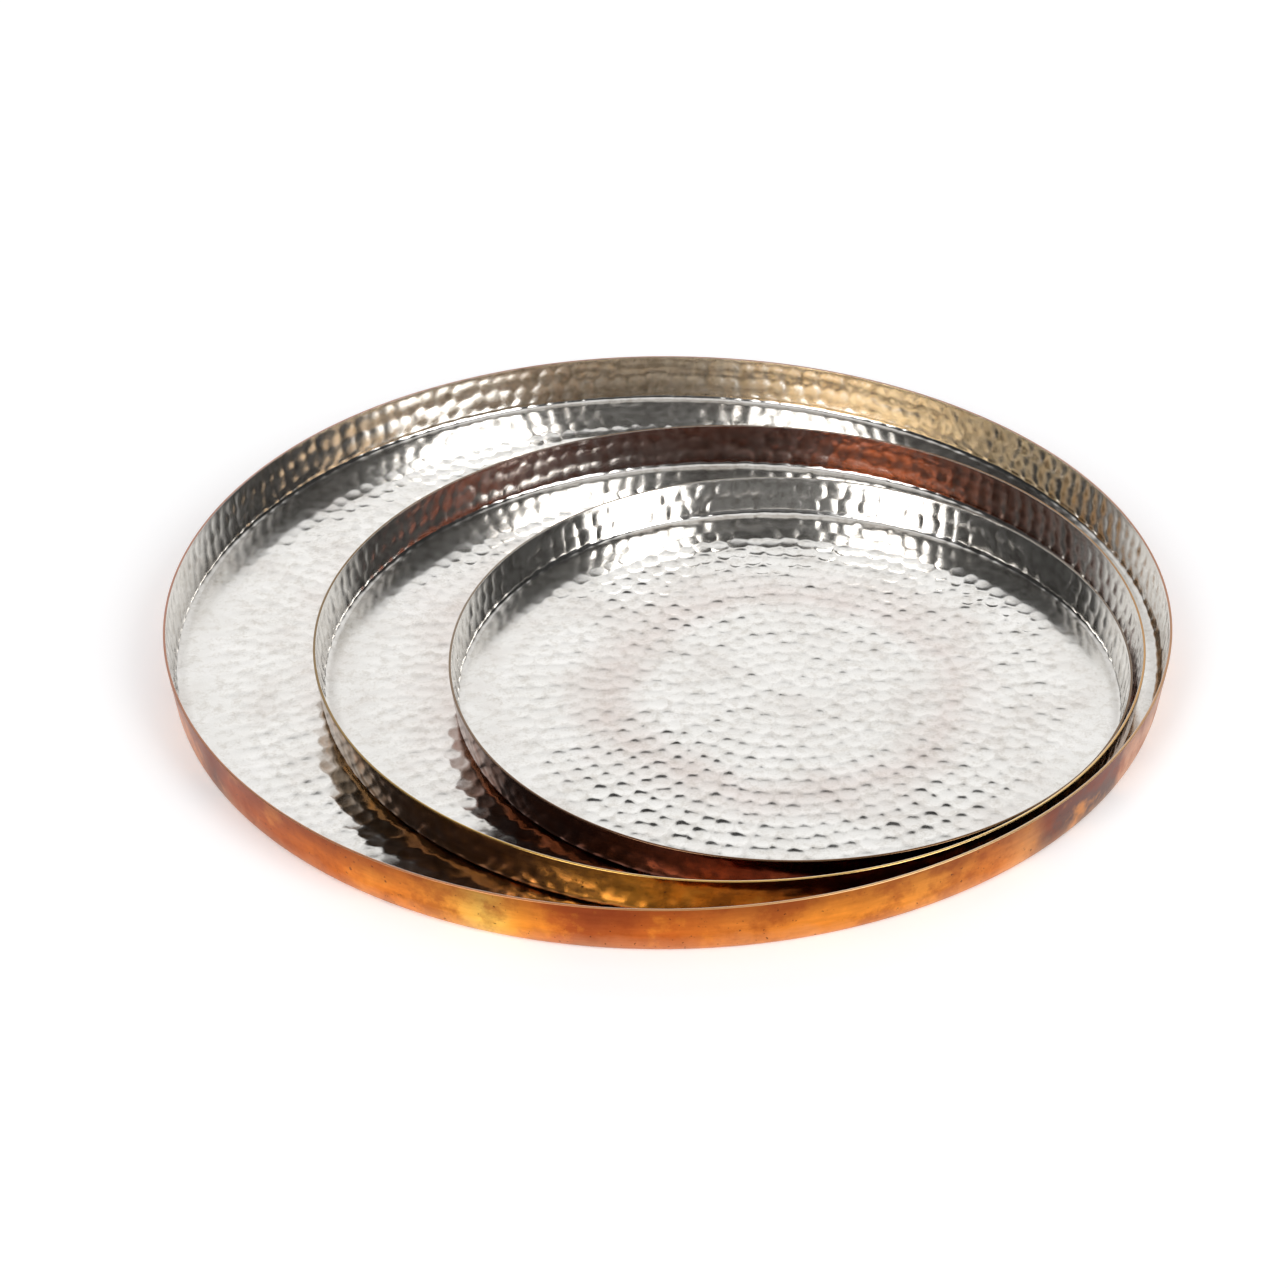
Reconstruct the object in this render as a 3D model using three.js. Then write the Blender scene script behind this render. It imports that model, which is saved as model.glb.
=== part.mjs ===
// A nest of three round, low-walled trays hammered from copper sheet and tinned inside.
// Each tray stands on the floor of the next larger one, pushed towards the front right.
// Millimetres, +Z up, -Y to the front; the origin is the centre of the large tray's underside.
import * as THREE from 'three';

// Sheet and joints between the layers.
const sheetThickness = 1.2;   // copper and tin together, as seen at the cut rim
const tinThickness = 0.1;     // the wiped coat of tin on the inside
const tinGap = 0.05;          // keeps the coat a solid of its own
const tinEdgeDrop = 0.4;      // the coat stops this far below the cut rim
const restGap = 0.3;          // air between a tray's underside and the floor it stands on

// Wall section, the same on all three trays.
const wallLean = THREE.MathUtils.degToRad(7.5);   // outwards from the vertical
const cornerRadius = 5;       // outside radius where the floor turns up into the wall
const cornerSteps = 3;        // straight steps round that corner
const segments = 72;          // steps round the tray

// Rim radius, height over its own underside, and the shift from the tray that it stands in.
const trays = [
  { name: 'large', radius: 230, height: 24, shift: [0, 0], copper: 0xb86f3f, roughness: 0.34 },
  { name: 'medium', radius: 186.5, height: 22, shift: [28.4, -25.6], copper: 0x8a6232, roughness: 0.24 },
  { name: 'small', radius: 153, height: 20, shift: [25.5, -18.7], copper: 0x5c2a18, roughness: 0.22 },
];
const tinColour = 0xb9b8b3;
const tinRoughness = 0.2;

// One face of the sheet, from the axis out along the floor, round the corner and up the wall.
// The depth is measured inwards, at right angles, from the outside of the tray.
function sheetFace(tray, depth, top) {
  const cornerCentre = tray.radius
    + ((cornerRadius - tray.height) * Math.sin(wallLean) - cornerRadius) / Math.cos(wallLean);
  const points = [new THREE.Vector2(0, depth)];
  for (let step = 0; step <= cornerSteps; step += 1) {
    const angle = THREE.MathUtils.lerp(-Math.PI / 2, -wallLean, step / cornerSteps);
    points.push(new THREE.Vector2(
      cornerCentre + (cornerRadius - depth) * Math.cos(angle),
      cornerRadius + (cornerRadius - depth) * Math.sin(angle),
    ));
  }
  const topRadius = tray.radius - depth / Math.cos(wallLean) - (tray.height - top) * Math.tan(wallLean);
  points.push(new THREE.Vector2(topRadius, top));
  return points;
}

// The closed layer of metal between two depths, turned about the tray's axis.
function sheetLayer(name, tray, outerDepth, innerDepth, top, material) {
  const outline = [
    ...sheetFace(tray, outerDepth, top),
    ...sheetFace(tray, innerDepth, top).reverse(),
  ];
  const geometry = new THREE.LatheGeometry(outline, segments);
  geometry.rotateX(Math.PI / 2);
  const mesh = new THREE.Mesh(geometry, material);
  mesh.name = name;
  return mesh;
}

// The raised copper body, bare outside and along the rim.
function copperBody(tray) {
  const material = new THREE.MeshStandardMaterial({
    color: tray.copper,
    roughness: tray.roughness,
    metalness: 1,
  });
  const depth = sheetThickness - tinThickness - tinGap;
  return sheetLayer(`${tray.name}_copper_body`, tray, 0, depth, tray.height, material);
}

// The tin wiped over the whole inside of the body.
function tinLining(tray) {
  const material = new THREE.MeshStandardMaterial({
    color: tinColour,
    roughness: tinRoughness,
    metalness: 1,
  });
  const depth = sheetThickness - tinThickness;
  const top = tray.height - tinEdgeDrop;
  return sheetLayer(`${tray.name}_tin_lining`, tray, depth, sheetThickness, top, material);
}

// Each tray's group hangs from the group of the tray that it stands in.
function trayGroup(tray, standsInTray) {
  const group = new THREE.Group();
  const [shiftX, shiftY] = tray.shift;
  group.position.set(shiftX, shiftY, standsInTray ? sheetThickness + restGap : 0);
  group.add(copperBody(tray), tinLining(tray));
  return group;
}

const nest = new THREE.Group();
let holder = nest;
for (const tray of trays) {
  const group = trayGroup(tray, holder !== nest);
  holder.add(group);
  holder = group;
}

export default nest;
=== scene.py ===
import math
import random

import bmesh
import bpy
from mathutils import Matrix, Vector, kdtree, noise


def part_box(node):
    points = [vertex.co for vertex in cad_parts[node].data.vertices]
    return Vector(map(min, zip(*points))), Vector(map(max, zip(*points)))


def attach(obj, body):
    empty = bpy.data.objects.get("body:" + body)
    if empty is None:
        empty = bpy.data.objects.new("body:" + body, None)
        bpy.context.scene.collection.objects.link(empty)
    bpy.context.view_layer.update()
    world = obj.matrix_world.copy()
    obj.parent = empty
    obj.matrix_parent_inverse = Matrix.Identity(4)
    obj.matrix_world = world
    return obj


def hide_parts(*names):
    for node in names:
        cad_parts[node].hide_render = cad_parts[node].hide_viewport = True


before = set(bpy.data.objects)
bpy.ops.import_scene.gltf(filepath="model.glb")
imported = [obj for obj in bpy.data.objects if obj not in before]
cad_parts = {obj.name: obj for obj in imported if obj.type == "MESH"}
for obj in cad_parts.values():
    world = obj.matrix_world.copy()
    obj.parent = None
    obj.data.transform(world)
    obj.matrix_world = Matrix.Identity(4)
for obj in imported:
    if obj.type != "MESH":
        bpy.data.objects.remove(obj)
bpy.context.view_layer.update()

mm = 0.001

# A nest of three copper trays, each raised from one sheet, planished with a round-faced hammer and
# tinned inside. Every tray is made the same way: a copper body, and the tin wiped over its inside.

sheet = {
    "thickness": 1.2 * mm,               # copper and tin together
    "wallLean": math.radians(7.5),       # outwards from the vertical
    "outerCorner": 3.6 * mm,             # radius where the floor turns up into the wall
    "copperBack": 0.56 * mm,             # hidden inner face of the copper, from the outside
    "tinBack": 0.62 * mm,                # hidden back of the tin, from the outside
    "tinEdge": 1.08 * mm,                # the tin starts this far in along the cut rim
}

# the cut rim is filed round: how far each step lies below the top, and in from the outside
rimSteps = ((0.22 * mm, 0.0), (0.07 * mm, 0.06 * mm), (0.0, 0.22 * mm), (0.0, 0.84 * mm), (0.04 * mm, 1.04 * mm))

hammer = {
    "markReach": 5.0 * mm,               # half the width that one blow presses
    "markAcross": 8.6 * mm,              # from blow to blow along a row
    "rowStep": 8.0 * mm,                 # from row to row
    "press": 0.50 * mm,                  # a blow of middling weight would go this deep
    "deepest": 0.48 * mm,                # but the sheet gives less and less, and never as much as this
    "roll": 2.6,                         # the face is nearly flat, then turns up towards its edge
    "plainBand": 20 * mm,                # the floor is left smoother beside the wall
    "middleShow": 0.64,                  # the middle of the floor is struck more lightly
    "leftFade": 0.5,                     # the blows fall softer towards the left of each tray,
    "rightFade": 0.35,                   # and a little softer towards the right
    "stray": 2.2 * mm,                   # the rows wander this far
    "wallShow": 1.02,
    "coveRise": 0.18 * mm,               # the floor starts to lift this much before the corner
    "coveWidth": 7 * mm,
    "cornerWander": 0.22 * mm,           # the corner is beaten up by eye
    "ridge": 0.13 * mm,                  # the painted shade on the line between two marks is drawn this deep
}

trays = {
    "large": {
        "seed": 7, "tinRings": 155, "tinRows": 15, "copperRings": 110, "copperRows": 14,
        "backShow": 0.10, "rimWaves": ((2, -0.3, 0.0), (3, 0.6, 0.16)), "rimLift": 0.25,
    },
    "medium": {
        "seed": 19, "tinRings": 155, "tinRows": 15, "copperRings": 104, "copperRows": 14,
        "backShow": 0.75, "rimWaves": ((2, 1.1, 0.25), (3, 0.6, 0.71)), "rimLift": 0.25,
    },
    "small": {
        "seed": 31, "tinRings": 155, "tinRows": 15, "copperRings": 104, "copperRows": 14,
        "backShow": 0.5, "rimWaves": ((2, 0.9, 1.99), (3, 0.9, -0.1)), "rimLift": 0.2,
    },
}


def readTray(name, look):
    low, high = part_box(f"{name}_copper_body")
    look["name"] = name
    look["centre"] = Vector(((low[0] + high[0]) / 2, (low[1] + high[1]) / 2, low[2]))
    look["radius"] = (high[0] - low[0]) / 2
    look["height"] = high[2] - low[2]


def sheetFace(look, depth, corner):
    # one face of the sheet at a depth from the outside: flat floor, round corner, leaning wall
    lean = sheet["wallLean"]
    rim = look["radius"] - depth / math.cos(lean)
    arcTop = depth + corner - corner * math.sin(lean)
    arcRun = corner * (math.pi / 2 - lean)
    wallRun = (look["height"] - arcTop) / math.cos(lean)
    return {
        "depth": depth, "corner": corner, "rim": rim,
        "flat": rim - (look["height"] - depth - corner) * math.tan(lean) - corner / math.cos(lean),
        "turnUp": arcRun + wallRun, "cornerShare": arcRun / (arcRun + wallRun),
    }


def pointOnFace(look, face, share, mark=0.0):
    # share runs from 0 at the edge of the flat floor to 1 at the rim; a mark moves the face inwards
    lean = sheet["wallLean"]
    if share <= 0:
        return face["flat"], face["depth"] + mark
    turn = min(1.0, share / face["cornerShare"])
    angle = -math.pi / 2 + turn * (math.pi / 2 - lean)
    radius = face["flat"] + (face["corner"] - mark) * math.cos(angle)
    height = face["depth"] + face["corner"] + (face["corner"] - mark) * math.sin(angle)
    if share > face["cornerShare"]:
        up = (share - face["cornerShare"]) / (1 - face["cornerShare"])
        radius += (face["rim"] - mark / math.cos(lean) - radius) * up
        height += (look["height"] - height) * up
    return radius, height


def placeOnTray(look, angle, radius, height):
    # hand work: the rim is a little out of round, and its height wanders
    wave = sum(size * mm * math.cos(count * (angle - peak)) for count, size, peak in look["rimWaves"])
    radius *= 1 + wave / look["radius"]
    rise = max(0.0, height / look["height"])
    circle = Vector((math.cos(angle), math.sin(angle), look["seed"]))
    height += look["rimLift"] * mm * noise.noise(circle * 2.3) * rise ** 2
    centre = look["centre"]
    return Vector((
        centre.x + radius * math.cos(angle),
        centre.y + radius * math.sin(angle),
        centre.z + height,
    ))


def strikeMarks(look):
    # the blows go round in rows, from the middle of the floor out and up the wall
    rng = random.Random(look["seed"])
    reach = hammer["markReach"]
    outerRun = look["radius"] + look["height"]
    blows = []
    for row in range(int(outerRun / hammer["rowStep"]) + 2):
        run = (row + 0.3) * hammer["rowStep"]
        count = max(1, round(2 * math.pi * run / hammer["markAcross"]))
        start = rng.random()
        for blow in range(count):
            angle = 2 * math.pi * (blow + start + rng.uniform(-0.17, 0.17)) / count
            out = run + rng.uniform(-0.15, 0.15) * hammer["rowStep"]
            spot = Vector((out * math.cos(angle), out * math.sin(angle), 0))
            stray = noise.noise_vector(spot * 28 + Vector((0, 0, look["seed"]))) * hammer["stray"]
            spot += Vector((stray.x, stray.y, 0))
            blows.append((spot, reach * rng.uniform(0.9, 1.0), hammer["press"] * rng.uniform(0.75, 1.2)))
    tree = kdtree.KDTree(len(blows))
    for index, blow in enumerate(blows):
        tree.insert(blow[0], index)
    tree.balance()

    def markHeight(x, y):
        # the lowest mark here counts; where the next one is as low, the two meet in a ridge
        low = second = 0.0
        for _, index, far in tree.find_range((x, y, 0), reach):
            _, size, press = blows[index]
            height = press * ((far / size) ** hammer["roll"] - 1)
            if height < low:
                low, second = height, low
            else:
                second = min(second, height)
        return low, max(0.0, 1 - (second - low) / hammer["ridge"])
    return markHeight


def markedDepth(look, face, markHeight, angle, run, share, strength):
    # fainter in the corner and on the band beside it, where the hammer can't swing, and at the rim
    x = run * math.cos(angle)
    y = run * math.sin(angle)
    broad = noise.noise(Vector((x, y, look["seed"] * mm)) * 17)
    wander = noise.noise(Vector((x, y, look["seed"] * mm)) * 70) * hammer["cornerWander"]
    if share > 0:
        corner = abs(share - face["cornerShare"] * 0.5) / face["cornerShare"]
        reach = min(hammer["wallShow"], 0.4 + 0.6 * corner) * min(1.0, (1 - share) * 5)
        sag = wander * max(0.0, 1 - share * 1.4)
        cove = max(0.0, 1 - 3 * share) ** 2
    else:
        inward = (face["flat"] - run) / hammer["plainBand"]
        outward = min(1.0, run / face["flat"] / 0.75)
        reach = 0.1 + 0.9 * min(1.0, max(0.0, inward - 0.3)) ** 1.5
        reach *= hammer["middleShow"] + (1 - hammer["middleShow"]) * outward ** 2
        side = math.cos(angle)
        reach *= 1 - outward * (hammer["leftFade"] * max(0.0, -side) ** 3 + hammer["rightFade"] * max(0.0, side))
        sag = broad * 0.1 * mm * min(1.0, inward) + wander * max(0.0, 1 - inward * 2)
        cove = max(0.0, 1 - (face["flat"] - run) / hammer["coveWidth"]) ** 2
    low, ridge = markHeight(x, y)
    mark = hammer["deepest"] * math.tanh(low * (1 + 0.3 * broad) * reach / hammer["deepest"])
    if strength < 1:
        cove = 0.0                       # the underside stays level
    # painted shade along the ridges: weaker where the marks are faint, and half as strong on the floor as on the wall
    ridge *= min(1.0, reach * 1.5) * (1.0 if share > 0 else 0.5)
    return (mark + sag + cove * hammer["coveRise"]) * strength, ridge


def roundDisc(bm, rings):
    # six sectors cut into even triangles, then drawn out from a hexagon to a circle
    bmesh.ops.create_circle(bm, cap_ends=True, cap_tris=True, segments=6, radius=1.0,
                            matrix=Matrix.Rotation(math.radians(-90), 4, "Z"))
    bmesh.ops.subdivide_edges(bm, edges=bm.edges[:], cuts=rings - 1, use_grid_fill=True)
    sector = math.pi / 3
    for vert in bm.verts:
        around = math.atan2(vert.co.y, vert.co.x) % (2 * math.pi)
        side = int(around / sector + 1e-6) % 6
        first = Vector((math.cos(side * sector), math.sin(side * sector)))
        second = Vector((math.cos((side + 1) * sector), math.sin((side + 1) * sector)))
        cross = first.x * second.y - first.y * second.x
        a = (vert.co.x * second.y - vert.co.y * second.x) / cross
        b = (first.x * vert.co.y - first.y * vert.co.x) / cross
        ring = a + b
        turn = (side + (b / ring if ring > 1e-9 else 0)) * sector
        vert.co = Vector((ring * math.cos(turn), ring * math.sin(turn), 0))


def loopAfter(bm, edges, angleLayer):
    made = bmesh.ops.extrude_edge_only(bm, edges=edges)["geom"]
    verts = [item for item in made if isinstance(item, bmesh.types.BMVert)]
    for vert in verts:
        vert[angleLayer] = math.atan2(vert.co.y, vert.co.x)
    return verts, [item for item in made if isinstance(item, bmesh.types.BMEdge)]


def buildShell(look, rings, rows, face, backFace, edgeSteps, strength, lift):
    # the front skin is fine; the hidden side behind it has only the rings that its section needs
    markHeight = strikeMarks(look)
    bm = bmesh.new()
    roundDisc(bm, rings)
    angleLayer = bm.verts.layers.float.new("angle")
    edgeLayer = bm.verts.layers.float.new("edge")
    ridgeLayer = bm.verts.layers.float.new("ridge")
    floorVerts = bm.verts[:]
    loop = [edge for edge in bm.edges if edge.is_boundary]
    for vert in floorVerts:
        vert[angleLayer] = math.atan2(vert.co.y, vert.co.x)
    top = 1 - (edgeSteps[0][0] + 0.1 * mm) / face["turnUp"]   # just short of the filed edge
    wall = []
    for row in range(1, rows + 1):
        verts, loop = loopAfter(bm, loop, angleLayer)
        wall.append((verts, top * row / rows))
    hidden = []
    for below, depth in edgeSteps:
        verts, loop = loopAfter(bm, loop, angleLayer)
        hidden.append((verts, sheetFace(look, depth, face["corner"]), 1 - below / face["turnUp"], 1.0, 1.0))
    backCorner = backFace["cornerShare"]
    for share, shrink in ((0.93, 1), (backCorner, 1), (backCorner * 0.5, 1), (0, 1), (0, 0.01)):
        verts, loop = loopAfter(bm, loop, angleLayer)
        hidden.append((verts, backFace, share, shrink, 0.0))
    for vert in floorVerts:
        run = vert.co.length * face["flat"]
        angle = vert[angleLayer]
        mark, vert[ridgeLayer] = markedDepth(look, face, markHeight, angle, run, 0, strength)
        vert.co = placeOnTray(look, angle, run, face["depth"] + lift + mark)
    for verts, share in wall:
        for vert in verts:
            angle = vert[angleLayer]
            run = face["flat"] + share * face["turnUp"]
            mark, vert[ridgeLayer] = markedDepth(look, face, markHeight, angle, run, share, strength)
            vert.co = placeOnTray(look, angle, *pointOnFace(look, face, share, mark + lift * (1 - share)))
    for verts, layer, share, shrink, worn in hidden:
        for vert in verts:
            radius, height = pointOnFace(look, layer, share)
            vert.co = placeOnTray(look, vert[angleLayer], radius * shrink, height)
            vert[edgeLayer] = worn
    middle = look["centre"] + Vector((0, 0, backFace["depth"]))
    bmesh.ops.pointmerge(bm, verts=hidden[-1][0], merge_co=middle)
    bmesh.ops.recalc_face_normals(bm, faces=bm.faces[:])
    return bm


def finishPiece(bm, name, body, material, node):
    for face in bm.faces:
        face.smooth = True
    for edge in bm.edges:
        if len(edge.link_faces) == 2 and edge.calc_face_angle() > math.radians(60):
            edge.smooth = False
    mesh = bpy.data.meshes.new(name)
    bm.to_mesh(mesh)
    bm.free()
    mesh.materials.append(material)
    piece = bpy.data.objects.new(name, mesh)
    bpy.context.scene.collection.objects.link(piece)
    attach(piece, body)
    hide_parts(node)
    triangles = sum(len(polygon.vertices) - 2 for polygon in mesh.polygons)
    print("made", name, "with", triangles, "triangles")
    return piece


def copperBody(look, material):
    name = look["name"]
    face = sheetFace(look, 0.0, sheet["outerCorner"])
    back = sheetFace(look, sheet["copperBack"], sheet["outerCorner"] - sheet["copperBack"])
    strength = look["backShow"]
    pressed = hammer["deepest"] * strength   # so the deepest mark stays level with the true outside
    bm = buildShell(look, look["copperRings"], look["copperRows"], face, back, rimSteps, strength, pressed)
    return finishPiece(bm, f"{name}_copper", f"{name}_tray", material, f"{name}_copper_body")


def tinLining(look, material):
    name = look["name"]
    face = sheetFace(look, sheet["thickness"], sheet["outerCorner"] - sheet["thickness"])
    back = sheetFace(look, sheet["tinBack"], sheet["outerCorner"] - sheet["tinBack"])
    edges = ((0.05 * mm, sheet["thickness"] - 0.02 * mm), (0.05 * mm, sheet["tinEdge"]),
             (0.4 * mm, sheet["tinEdge"]))
    bm = buildShell(look, look["tinRings"], look["tinRows"], face, back, edges, 1.0, 0.0)
    return finishPiece(bm, f"{name}_tinned_inside", f"{name}_tray", material, f"{name}_tin_lining")


def linear(hexColour):
    parts = [int(hexColour[i:i + 2], 16) / 255 for i in (1, 3, 5)]
    return tuple(part / 12.92 if part <= 0.04045 else ((part + 0.055) / 1.055) ** 2.4 for part in parts) + (1.0,)


def addNode(tree, kind, inputs=None, stops=None, **settings):
    node = tree.nodes.new(kind)
    for key, value in settings.items():
        setattr(node, key, value)
    for socket, value in (inputs or {}).items():
        if isinstance(value, bpy.types.NodeSocket):
            tree.links.new(value, node.inputs[socket])
        else:
            node.inputs[socket].default_value = value
    if stops:
        ramp = node.color_ramp
        while len(ramp.elements) < len(stops):
            ramp.elements.new(0.5)
        for element, (position, colour) in zip(ramp.elements, stops):
            element.position = position
            element.color = linear(colour) if isinstance(colour, str) else (colour, colour, colour, 1)
    return node


def startMaterial(name):
    material = bpy.data.materials.new(name)
    material.use_nodes = True
    return material, material.node_tree, material.node_tree.nodes["Principled BSDF"]


def placeOn(tree, look):
    place = addNode(tree, "ShaderNodeTexCoord")
    centred = addNode(tree, "ShaderNodeMapping", {"Vector": place.outputs["Object"],
                                                  "Location": tuple(-look["centre"])})
    return centred.outputs[0]


tinFinish = {
    "bright": "#F5F3F0", "plain": "#EFEDE9", "dull": "#E3DED9",
    "stain": "#C9ABA0",                  # copper showing pink where the tin has worn thin
    "cornerGrey": "#8F8880",                  # darker grey along the corner
    "outline": "#B9B3AC",                # painted shade along the ridges between the marks
    "cloud": 38 * mm, "grain": 5 * mm, "streak": 5 * mm, "scratch": 1.6 * mm,
    "ripple": 0.002 * mm,
}
tinWear = {                              # share of the tray's radius where the worn ring lies, roughness
    "large": {"ring": 0.62, "rough": (0.10, 0.17), "wallRough": 0.05},
    "medium": {"ring": 0.70, "rough": (0.10, 0.16), "wallRough": 0.06},
    "small": {"ring": 0.53, "rough": (0.10, 0.16), "wallRough": 0.04},
}


def wipedTin(look):
    # tin melted on and wiped out with a wad of cotton: a soft silver mirror, faintly warm and cloudy
    wear = tinWear[look["name"]]
    material, tree, shader = startMaterial(f"hand-wiped tin, {look['name']} tray")
    centred = placeOn(tree, look)
    plan = addNode(tree, "ShaderNodeMapping", {"Vector": centred, "Scale": (1, 1, 0)}).outputs[0]
    cloud = addNode(tree, "ShaderNodeTexNoise", {"Vector": centred, "Scale": 1 / tinFinish["cloud"],
                                                 "Detail": 6.0, "Roughness": 0.6})
    base = addNode(tree, "ShaderNodeValToRGB", {"Fac": cloud.outputs["Fac"]},
                   stops=[(0.32, tinFinish["bright"]), (0.5, tinFinish["plain"]), (0.72, tinFinish["dull"])])
    # the worn ring wanders, and comes and goes
    wander = addNode(tree, "ShaderNodeTexNoise", {"Vector": plan, "Scale": 1 / (60 * mm), "Detail": 5.0,
                                                  "Roughness": 0.65})
    out = addNode(tree, "ShaderNodeVectorMath", {0: plan}, operation="LENGTH")
    shareOut = addNode(tree, "ShaderNodeMath", {0: out.outputs["Value"], 1: 1 / look["radius"],
                       2: 0.0}, operation="MULTIPLY_ADD")
    drift = addNode(tree, "ShaderNodeMapRange", {"Value": wander.outputs["Fac"], "To Min": -0.16, "To Max": 0.16})
    ringAt = addNode(tree, "ShaderNodeMath", {0: shareOut.outputs[0], 1: drift.outputs[0]}, operation="ADD")
    ring = addNode(tree, "ShaderNodeValToRGB", {"Fac": ringAt.outputs[0]},
                   stops=[(wear["ring"] - 0.13, 0.0), (wear["ring"] - 0.02, 0.55), (wear["ring"] + 0.03, 0.35),
                          (wear["ring"] + 0.15, 0.0)])
    patchy = addNode(tree, "ShaderNodeTexNoise", {"Vector": centred, "Scale": 1 / (17 * mm), "Detail": 7.0,
                                                  "Roughness": 0.7})
    worn = addNode(tree, "ShaderNodeMath", {0: ring.outputs[0], 1: patchy.outputs["Fac"]}, operation="MULTIPLY")
    stained = addNode(tree, "ShaderNodeMix", {0: worn.outputs[0], 6: base.outputs[0],
                      7: linear(tinFinish["stain"])}, data_type="RGBA")
    # a darker grey line along the corner, broken up by noise
    inside = sheetFace(look, sheet["thickness"], sheet["outerCorner"] - sheet["thickness"])
    flatShare = inside["flat"] / look["radius"]
    corner = addNode(tree, "ShaderNodeValToRGB", {"Fac": shareOut.outputs[0]},
                     stops=[(flatShare - 0.02, 0.0), (flatShare + 0.006, 0.7), (flatShare + 0.011, 0.5),
                            (flatShare + 0.02, 0.0)])
    cornerGrey = addNode(tree, "ShaderNodeMath", {0: corner.outputs[0], 1: patchy.outputs["Fac"]}, operation="MULTIPLY")
    colour = addNode(tree, "ShaderNodeMix", {0: cornerGrey.outputs[0], 6: stained.outputs[2],
                     7: linear(tinFinish["cornerGrey"])}, data_type="RGBA")
    # painted shade along the ridges between the marks, drawn from the ridge attribute
    ridge = addNode(tree, "ShaderNodeAttribute", attribute_name="ridge")
    outline = addNode(tree, "ShaderNodeMapRange", {"Value": ridge.outputs["Fac"], "From Min": 0.18,
                      "To Max": 0.5})
    outlined = addNode(tree, "ShaderNodeMix", {0: outline.outputs[0], 6: colour.outputs[2],
                       7: linear(tinFinish["outline"])}, data_type="RGBA")
    grain = addNode(tree, "ShaderNodeTexNoise", {"Vector": centred, "Scale": 1 / tinFinish["grain"],
                                                 "Detail": 5.0, "Roughness": 0.75})
    grainTint = addNode(tree, "ShaderNodeValToRGB", {"Fac": grain.outputs["Fac"]},
                        stops=[(0.34, "#EAE8E5"), (0.52, "#FFFFFF")])
    grained = addNode(tree, "ShaderNodeMix", {0: 1.0, 6: outlined.outputs[2], 7: grainTint.outputs[0]},
                      data_type="RGBA", blend_type="MULTIPLY")
    tree.links.new(grained.outputs[2], shader.inputs["Base Color"])
    shader.inputs["Metallic"].default_value = 1.0
    # wiping streaks run round the tray
    low, high = wear["rough"]
    streak = addNode(tree, "ShaderNodeTexNoise", {"Vector": centred, "Scale": 1 / tinFinish["streak"],
                                                  "Detail": 4.0, "Roughness": 0.6})
    rough = addNode(tree, "ShaderNodeMapRange", {"Value": streak.outputs["Fac"], "From Min": 0.3,
                    "From Max": 0.7, "To Min": low, "To Max": high})
    rougher = addNode(tree, "ShaderNodeMath", {0: worn.outputs[0], 1: 0.12, 2: rough.outputs[0]},
                      operation="MULTIPLY_ADD")
    # the band beside the wall stays duller, since the wad skips over it
    band = addNode(tree, "ShaderNodeValToRGB", {"Fac": shareOut.outputs[0]},
                   stops=[(flatShare - 0.15, 0.0), (flatShare - 0.06, 0.06), (flatShare, 0.06),
                          (flatShare + 0.01, 0.0)])
    level = addNode(tree, "ShaderNodeSeparateXYZ", {"Vector": centred})
    wallDull = addNode(tree, "ShaderNodeMapRange", {"Value": level.outputs["Z"], "From Min": 3 * mm,
                       "From Max": 9 * mm, "To Max": wear["wallRough"]})
    duller = addNode(tree, "ShaderNodeMath", {0: rougher.outputs[0], 1: wallDull.outputs[0]}, operation="ADD")
    dullest = addNode(tree, "ShaderNodeMath", {0: duller.outputs[0], 1: band.outputs[0]}, operation="ADD")
    tree.links.new(dullest.outputs[0], shader.inputs["Roughness"])
    scratch = addNode(tree, "ShaderNodeTexNoise", {"Vector": centred, "Scale": 1 / tinFinish["scratch"],
                                                   "Detail": 3.0, "Roughness": 0.55})
    bump = addNode(tree, "ShaderNodeBump", {"Height": scratch.outputs["Fac"], "Distance": tinFinish["ripple"],
                                            "Strength": 1.0})
    tree.links.new(bump.outputs[0], shader.inputs["Normal"])
    return material


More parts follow.
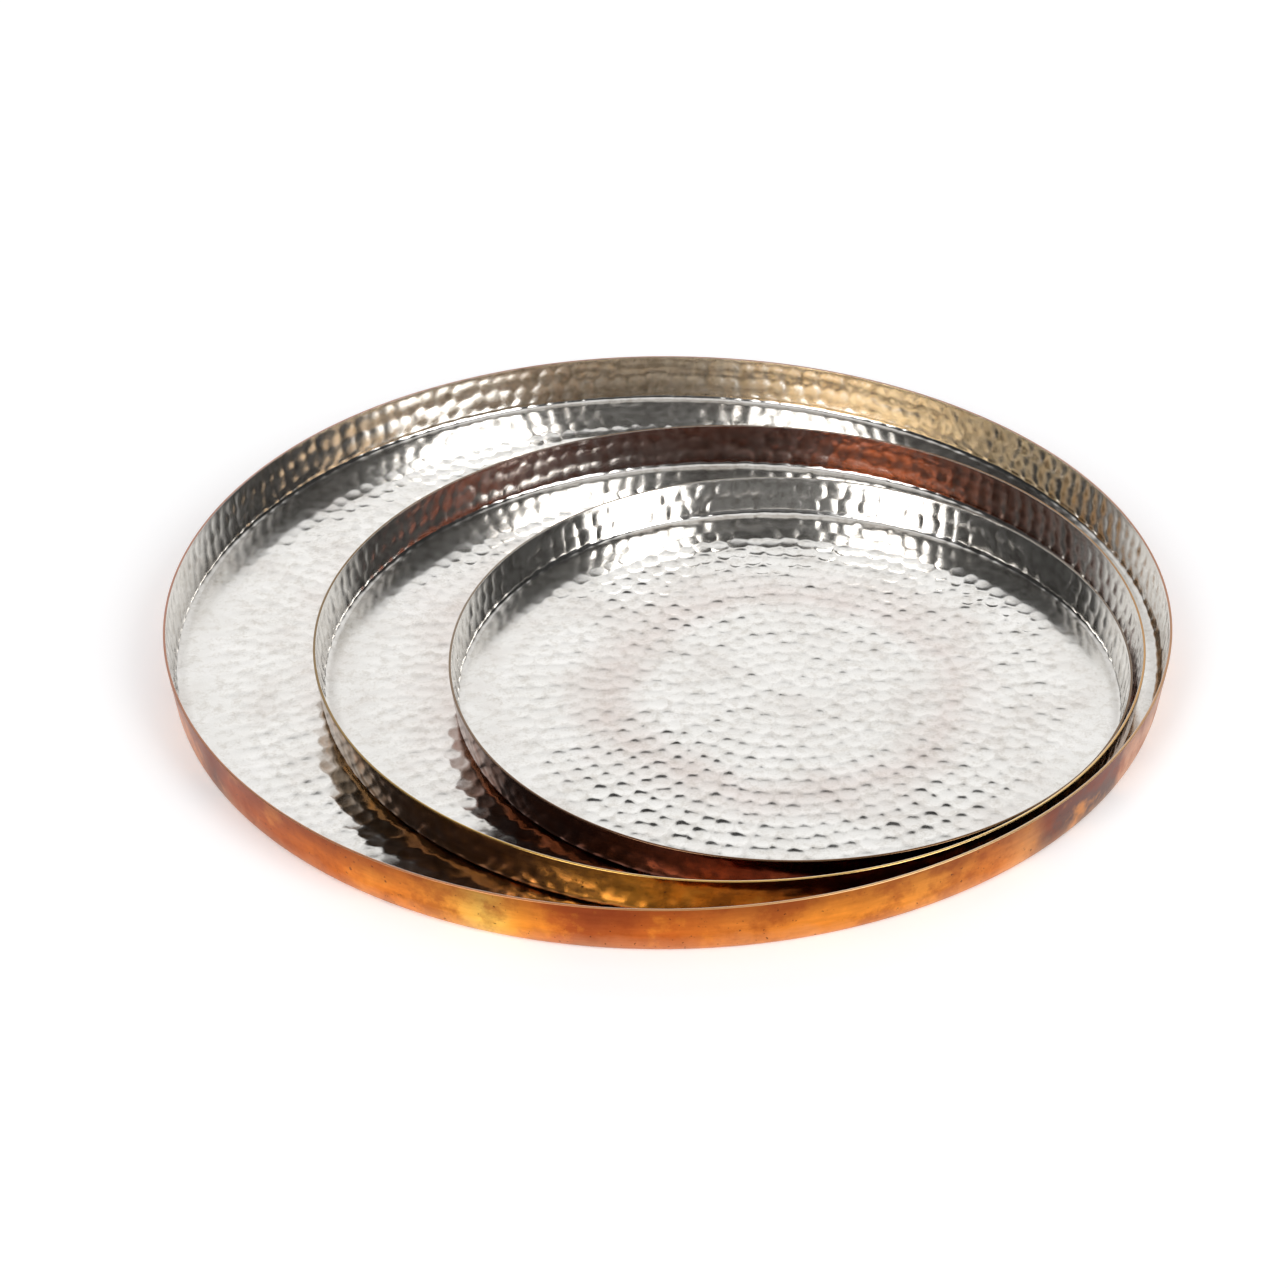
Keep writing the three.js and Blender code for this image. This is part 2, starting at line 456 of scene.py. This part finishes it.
# colours round each wall, by bearing in degrees: 0 is the right, -90 the front, 90 the back
copperFinish = {
    "large": {
        "tint": "heat-tinted satin copper",
        # the pale yellow band from -118 to -106 is a painted highlight on the heat-tinted copper
        "zones": ((-180, "#CF9A84"), (-158, "#CC8C6C"), (-153, "#A8603C"), (-149, "#7C4632"), (-145, "#B85A20"), (-137, "#C4641A"),
                  (-126, "#DC7A22"), (-118, "#F09434"), (-113, "#FFB248"), (-109.5, "#FFD66A"), (-106, "#FFAA3E"),
                  (-102, "#C8682A"), (-99, "#B05A2C"),
                  (-90, "#D0702A"), (-82, "#E08A38"), (-72, "#EC9836"), (-62, "#EEA042"), (-54, "#DC8430"),
                  (-49, "#E6A05A"), (-47, "#B97848"), (-46, "#6E4A3E"), (-32, "#6A4C42"), (-31, "#DDA680"),
                  (-15, "#E4B594"), (10, "#C88F72"), (45, "#B9683C"), (80, "#D08848"), (110, "#A9583A"),
                  (140, "#D89A5C"), (165, "#C07C58"), (180, "#CF9A84")),
        "bloom": "#A04A1E", "gold": "#FFA63C", "upper": "#78301A", "lower": "#E9B98E", "speck": "#3A2016",
        # the cut edge is bare copper, with a painted highlight brightest at the front right
        "edge": ((-180, "#B98A78"), (-100, "#C98A5C"), (-60, "#F0C890"), (0, "#B98A70"), (180, "#B98A78")),
        "bloomAmount": 0.6, "goldAmount": 0.65, "upperAmount": 0.62, "lowerAmount": 0.4, "rough": (0.24, 0.38), "cloud": 24 * mm,
    },
    "medium": {
        "tint": "golden-brown polished copper",
        # the near-white colours from 62 to 122 are painted light, there so that the large tray's back wall shows
        # bright reflected patches; the amber from -104 to -88 is partly the copper's own and partly painted glints
        "zones": ((-180, "#9C8A6C"), (-150, "#A08058"), (-138, "#9A6A46"), (-122, "#A4683A"), (-112, "#C48440"),
                  (-104, "#EC9C3A"), (-97, "#E08022"), (-88, "#C46C1E"), (-78, "#964A1C"), (-64, "#8A4A24"),
                  (-48, "#C89850"), (-20, "#A87C48"), (20, "#9A7238"), (48, "#D0A060"), (62, "#FFEBC0"), (88, "#FFE4B4"),
                  (95, "#FFF0D4"), (122, "#FFE8C8"),
                  (145, "#8C7440"), (180, "#9C8A6C")),
        "bloom": "#3A2210", "gold": "#E09438", "upper": "#7A4A24", "lower": "#A07038", "speck": "#2E1C10",
        # the cut edge is bare copper, with a painted highlight brightest at the front right
        "edge": ((-180, "#8A7458"), (-140, "#A88A54"), (-105, "#E8B868"), (-50, "#FFD894"), (-20, "#C8A070"),
                 (60, "#7A5A40"), (180, "#8A7458")),
        "bloomAmount": 0.5, "goldAmount": 0.5, "upperAmount": 0.3, "lowerAmount": 0.3, "rough": (0.09, 0.18), "cloud": 13 * mm,
    },
    "small": {
        "tint": "dark red-brown polished copper",
        # the red band at -104 is a painted reflection streak; the dark colours from 0 to 66 are partly painted shade
        # and the orange band at 83 is a painted glint, both set for what the medium tray's back wall reflects
        "zones": ((-180, "#8E6A54"), (-156, "#8A5C40"), (-140, "#80482C"), (-120, "#7A3E24"), (-108, "#74321C"),
                  (-104, "#C8562A"), (-101, "#8A381C"), (-90, "#6E2A18"), (-70, "#5A2416"), (-45, "#7A3C22"),
                  (0, "#4E2C20"), (40, "#4A2A1E"), (66, "#4A2A1C"), (77, "#7A3E22"), (83, "#C4683A"), (88, "#6E3C2A"),
                  (100, "#7A4634"), (150, "#6A3C2E"),
                  (180, "#8E6A54")),
        "bloom": "#3A1810", "gold": "#A8542C", "upper": "#52281A", "lower": "#7A4426", "speck": "#1E0E0A",
        # the cut edge is bare copper; its brightness by bearing is painted highlight and shade
        "edge": ((-180, "#8C7A68"), (-120, "#7A5A44"), (-60, "#8A6A4C"), (0, "#7A6A5C"), (90, "#A09A90"), (180, "#8C7A68")),
        "bloomAmount": 0.6, "goldAmount": 0.5, "upperAmount": 0.4, "lowerAmount": 0.4, "rough": (0.09, 0.16), "cloud": 14 * mm,
    },
}
copperGrain = {"drift": 16 * mm, "line": 3.0 * mm, "speck": 2.0 * mm, "ripple": 0.008 * mm}


def agedCopper(look):
    # bare copper that heat and handling have tinted in zones with ragged edges, some zones carrying painted
    # highlights, glints, reflections and shade; darker towards the rim, paler towards the base, bare and bright along
    # the cut edge with a painted highlight
    finish = copperFinish[look["name"]]
    material, tree, shader = startMaterial(f"{finish['tint']}, {look['name']} tray")
    centred = placeOn(tree, look)
    warp = addNode(tree, "ShaderNodeTexNoise", {"Vector": centred, "Scale": 1 / (22 * mm), "Detail": 6.0,
                                                "Roughness": 0.6})
    drift = copperGrain["drift"]
    moved = addNode(tree, "ShaderNodeVectorMath", {0: warp.outputs["Color"], 1: (drift, drift, 0),
                    2: centred}, operation="MULTIPLY_ADD")
    back = addNode(tree, "ShaderNodeVectorMath", {0: moved.outputs[0], 1: (-drift / 2, -drift / 2, 0)},
                   operation="ADD")
    bearing = addNode(tree, "ShaderNodeTexGradient", {"Vector": back.outputs[0]}, gradient_type="RADIAL")
    # the zone colours also carry the painted highlights, glints, reflections and shade noted in copperFinish
    zones = addNode(tree, "ShaderNodeValToRGB", {"Fac": bearing.outputs["Fac"]},
                    stops=[(degrees / 360 + 0.5, colour) for degrees, colour in finish["zones"]])
    cloud = addNode(tree, "ShaderNodeTexNoise", {"Vector": centred, "Scale": 1 / finish["cloud"],
                                                 "Detail": 7.0, "Roughness": 0.62})
    bloomy = addNode(tree, "ShaderNodeMapRange", {"Value": cloud.outputs["Fac"], "From Min": 0.5,
                     "From Max": 0.62, "To Max": finish["bloomAmount"]})
    golden = addNode(tree, "ShaderNodeMapRange", {"Value": cloud.outputs["Fac"], "From Min": 0.46,
                     "From Max": 0.34, "To Max": finish["goldAmount"]})
    gilded = addNode(tree, "ShaderNodeMix", {0: golden.outputs[0], 6: zones.outputs[0],
                     7: linear(finish["gold"])}, data_type="RGBA")
    bloomed = addNode(tree, "ShaderNodeMix", {0: bloomy.outputs[0], 6: gilded.outputs[2],
                      7: linear(finish["bloom"])}, data_type="RGBA")
    level = addNode(tree, "ShaderNodeSeparateXYZ", {"Vector": centred})
    ragged = addNode(tree, "ShaderNodeMath", {0: warp.outputs["Fac"], 1: -14 * mm, 2: level.outputs["Z"]},
                     operation="MULTIPLY_ADD")
    upward = addNode(tree, "ShaderNodeMapRange", {"Value": ragged.outputs[0], "From Min": 4 * mm,
                     "From Max": look["height"] - 8 * mm, "To Max": finish["upperAmount"]})
    darkened = addNode(tree, "ShaderNodeMix", {0: upward.outputs[0], 6: bloomed.outputs[2],
                       7: linear(finish["upper"])}, data_type="RGBA")
    # paler towards the base
    downward = addNode(tree, "ShaderNodeMapRange", {"Value": ragged.outputs[0], "From Min": -6 * mm,
                       "From Max": 2 * mm, "To Min": finish["lowerAmount"], "To Max": 0.0})
    paledBelow = addNode(tree, "ShaderNodeMix", {0: downward.outputs[0], 6: darkened.outputs[2],
                     7: linear(finish["lower"])}, data_type="RGBA")
    # polishing lines run round the wall, so they are drawn out along it and thin across it
    drawnOut = addNode(tree, "ShaderNodeMapping", {"Vector": centred, "Scale": (1, 1, 9)})
    line = addNode(tree, "ShaderNodeTexNoise", {"Vector": drawnOut.outputs[0], "Scale": 1 / (9 * copperGrain["line"]),
                                                "Detail": 6.0, "Roughness": 0.7})
    lineTint = addNode(tree, "ShaderNodeValToRGB", {"Fac": line.outputs["Fac"]},
                       stops=[(0.3, "#E6E0DC"), (0.7, "#FFFFFF")])
    lined = addNode(tree, "ShaderNodeMix", {0: 1.0, 6: paledBelow.outputs[2], 7: lineTint.outputs[0]},
                    data_type="RGBA", blend_type="MULTIPLY")
    pit = addNode(tree, "ShaderNodeTexNoise", {"Vector": centred, "Scale": 1 / copperGrain["speck"], "Detail": 2.0})
    pitMask = addNode(tree, "ShaderNodeMapRange", {"Value": pit.outputs["Fac"], "From Min": 0.69,
                      "From Max": 0.74, "To Max": 0.8})
    pitted = addNode(tree, "ShaderNodeMix", {0: pitMask.outputs[0], 6: lined.outputs[2],
                     7: linear(finish["speck"])}, data_type="RGBA")
    worn = addNode(tree, "ShaderNodeAttribute", attribute_name="edge")
    wornMask = addNode(tree, "ShaderNodeMapRange", {"Value": worn.outputs["Fac"], "From Min": 0.55,
                       "From Max": 0.95})
    # bare copper along the cut edge, its brightness following the bearing as painted highlight and shade
    edge = addNode(tree, "ShaderNodeValToRGB", {"Fac": bearing.outputs["Fac"]},
                   stops=[(degrees / 360 + 0.5, colour) for degrees, colour in finish["edge"]])
    edged = addNode(tree, "ShaderNodeMix", {0: wornMask.outputs[0], 6: pitted.outputs[2],
                    7: edge.outputs[0]}, data_type="RGBA")
    tree.links.new(edged.outputs[2], shader.inputs["Base Color"])
    shader.inputs["Metallic"].default_value = 1.0
    low, high = finish["rough"]
    rough = addNode(tree, "ShaderNodeMapRange", {"Value": cloud.outputs["Fac"], "From Min": 0.3,
                    "From Max": 0.7, "To Min": low, "To Max": high})
    lineRough = addNode(tree, "ShaderNodeMath", {0: line.outputs["Fac"], 1: 0.08, 2: rough.outputs[0]},
                        operation="MULTIPLY_ADD")
    tree.links.new(lineRough.outputs[0], shader.inputs["Roughness"])
    bump = addNode(tree, "ShaderNodeBump", {"Height": line.outputs["Fac"], "Distance": copperGrain["ripple"],
                                            "Strength": 1.0})
    tree.links.new(bump.outputs[0], shader.inputs["Normal"])
    return material


for name, look in trays.items():
    readTray(name, look)
    copperBody(look, agedCopper(look))
    tinLining(look, wipedTin(look))

view = {
    "aim": Vector((-10.2, -1.45, 0)) * mm,
    "distance": 1.5535,
    "elevation": math.radians(33.673),
    "roll": math.radians(-0.46),
    "lens": 94.0,
}


def placeCamera():
    back = Vector((0, -math.cos(view["elevation"]), math.sin(view["elevation"])))
    right = Vector((1, 0, 0))
    level = Matrix((right, back.cross(right), back)).transposed().to_4x4()
    data = bpy.data.cameras.new("camera")
    data.lens = view["lens"]
    camera = bpy.data.objects.new("camera", data)
    camera.matrix_world = (Matrix.Translation(view["aim"] + back * view["distance"]) @ level
                           @ Matrix.Rotation(view["roll"], 4, "Z"))
    bpy.context.scene.collection.objects.link(camera)
    bpy.context.scene.camera = camera


floorFinish = {"colour": "#F4F4F5", "glow": 0.25, "halfSide": 6.0}


def paleFloor():
    bm = bmesh.new()
    bmesh.ops.create_grid(bm, x_segments=1, y_segments=1, size=floorFinish["halfSide"])
    mesh = bpy.data.meshes.new("pale_floor")
    bm.to_mesh(mesh)
    bm.free()
    floor = bpy.data.objects.new("pale_floor", mesh)
    bpy.context.scene.collection.objects.link(floor)
    material, _, shader = startMaterial("white paper sweep")
    shader.inputs["Base Color"].default_value = linear(floorFinish["colour"])
    shader.inputs["Roughness"].default_value = 0.9
    shader.inputs["Specular IOR Level"].default_value = 0.0
    shader.inputs["Emission Color"].default_value = linear("#FFFFFF")
    shader.inputs["Emission Strength"].default_value = floorFinish["glow"]
    mesh.materials.append(material)


# soft panels round the trays, in degrees: bearings run from the back towards the right
studio = {
    "dim": 0.038,
    "panels": {
        "backdrop": {"bearing": 0, "half": 48, "low": -30, "high": 45.5, "sideSoft": 14, "topSoft": 3.2, "glow": 0.84},
        "backdrop glow": {"bearing": 0, "half": 40, "low": -30, "high": 37, "sideSoft": 26, "topSoft": 12,
                          "glow": 0.2},
        "right softbox": {"bearing": 130, "half": 16, "low": 3, "high": 50, "sideSoft": 3, "topSoft": 4, "glow": 5.5},
        "left softbox": {"bearing": -140, "half": 14, "low": 3, "high": 50, "sideSoft": 3, "topSoft": 4, "glow": 5.5},
        "room behind camera": {"bearing": 180, "half": 26, "low": 0, "high": 34, "sideSoft": 12, "topSoft": 12,
                               "glow": 0.12},
        "overhead": {"bearing": 0, "half": 200, "low": 61, "high": 100, "sideSoft": 10, "topSoft": 4, "glow": 0.9},
    },
}


def studioWorld():
    world = bpy.data.worlds.new("studio")
    world.use_nodes = True
    bpy.context.scene.world = world
    tree = world.node_tree
    tree.nodes.clear()
    place = addNode(tree, "ShaderNodeTexCoord")
    split = addNode(tree, "ShaderNodeSeparateXYZ", {"Vector": place.outputs["Generated"]})
    rise = addNode(tree, "ShaderNodeMath", {0: split.outputs["Z"]}, operation="ARCSINE")
    level = addNode(tree, "ShaderNodeCombineXYZ", {"X": split.outputs["X"], "Y": split.outputs["Y"]})
    heading = addNode(tree, "ShaderNodeVectorMath", {0: level.outputs[0]}, operation="NORMALIZE")
    total = studio["dim"]
    for panel in studio["panels"].values():
        bearing, half, low, high, sideSoft, topSoft = (
            math.radians(panel[key]) for key in ("bearing", "half", "low", "high", "sideSoft", "topSoft"))
        facing = addNode(tree, "ShaderNodeVectorMath", {0: heading.outputs[0],
                         1: (math.sin(bearing), math.cos(bearing), 0)}, operation="DOT_PRODUCT")
        off = addNode(tree, "ShaderNodeMath", {0: facing.outputs["Value"]}, operation="ARCCOSINE")
        across = addNode(tree, "ShaderNodeMapRange", {"Value": off.outputs[0], "From Min": half - sideSoft,
                         "From Max": half + sideSoft, "To Min": 1, "To Max": 0}, interpolation_type="SMOOTHSTEP")
        above = addNode(tree, "ShaderNodeMapRange", {"Value": rise.outputs[0], "From Min": low - topSoft,
                        "From Max": low + topSoft}, interpolation_type="SMOOTHSTEP")
        below = addNode(tree, "ShaderNodeMapRange", {"Value": rise.outputs[0], "From Min": high - topSoft,
                        "From Max": high + topSoft, "To Min": panel["glow"], "To Max": 0},
                        interpolation_type="SMOOTHSTEP")
        window = addNode(tree, "ShaderNodeMath", {0: across.outputs[0], 1: above.outputs[0]}, operation="MULTIPLY")
        total = addNode(tree, "ShaderNodeMath", {0: window.outputs[0], 1: below.outputs[0], 2: total},
                        operation="MULTIPLY_ADD").outputs[0]
    glow = addNode(tree, "ShaderNodeBackground", {"Color": total, "Strength": 1.0})
    addNode(tree, "ShaderNodeOutputWorld", {"Surface": glow.outputs[0]})


placeCamera()
paleFloor()
studioWorld()
bpy.context.scene.view_settings.view_transform = "Standard"
print("camera, floor and studio are set")
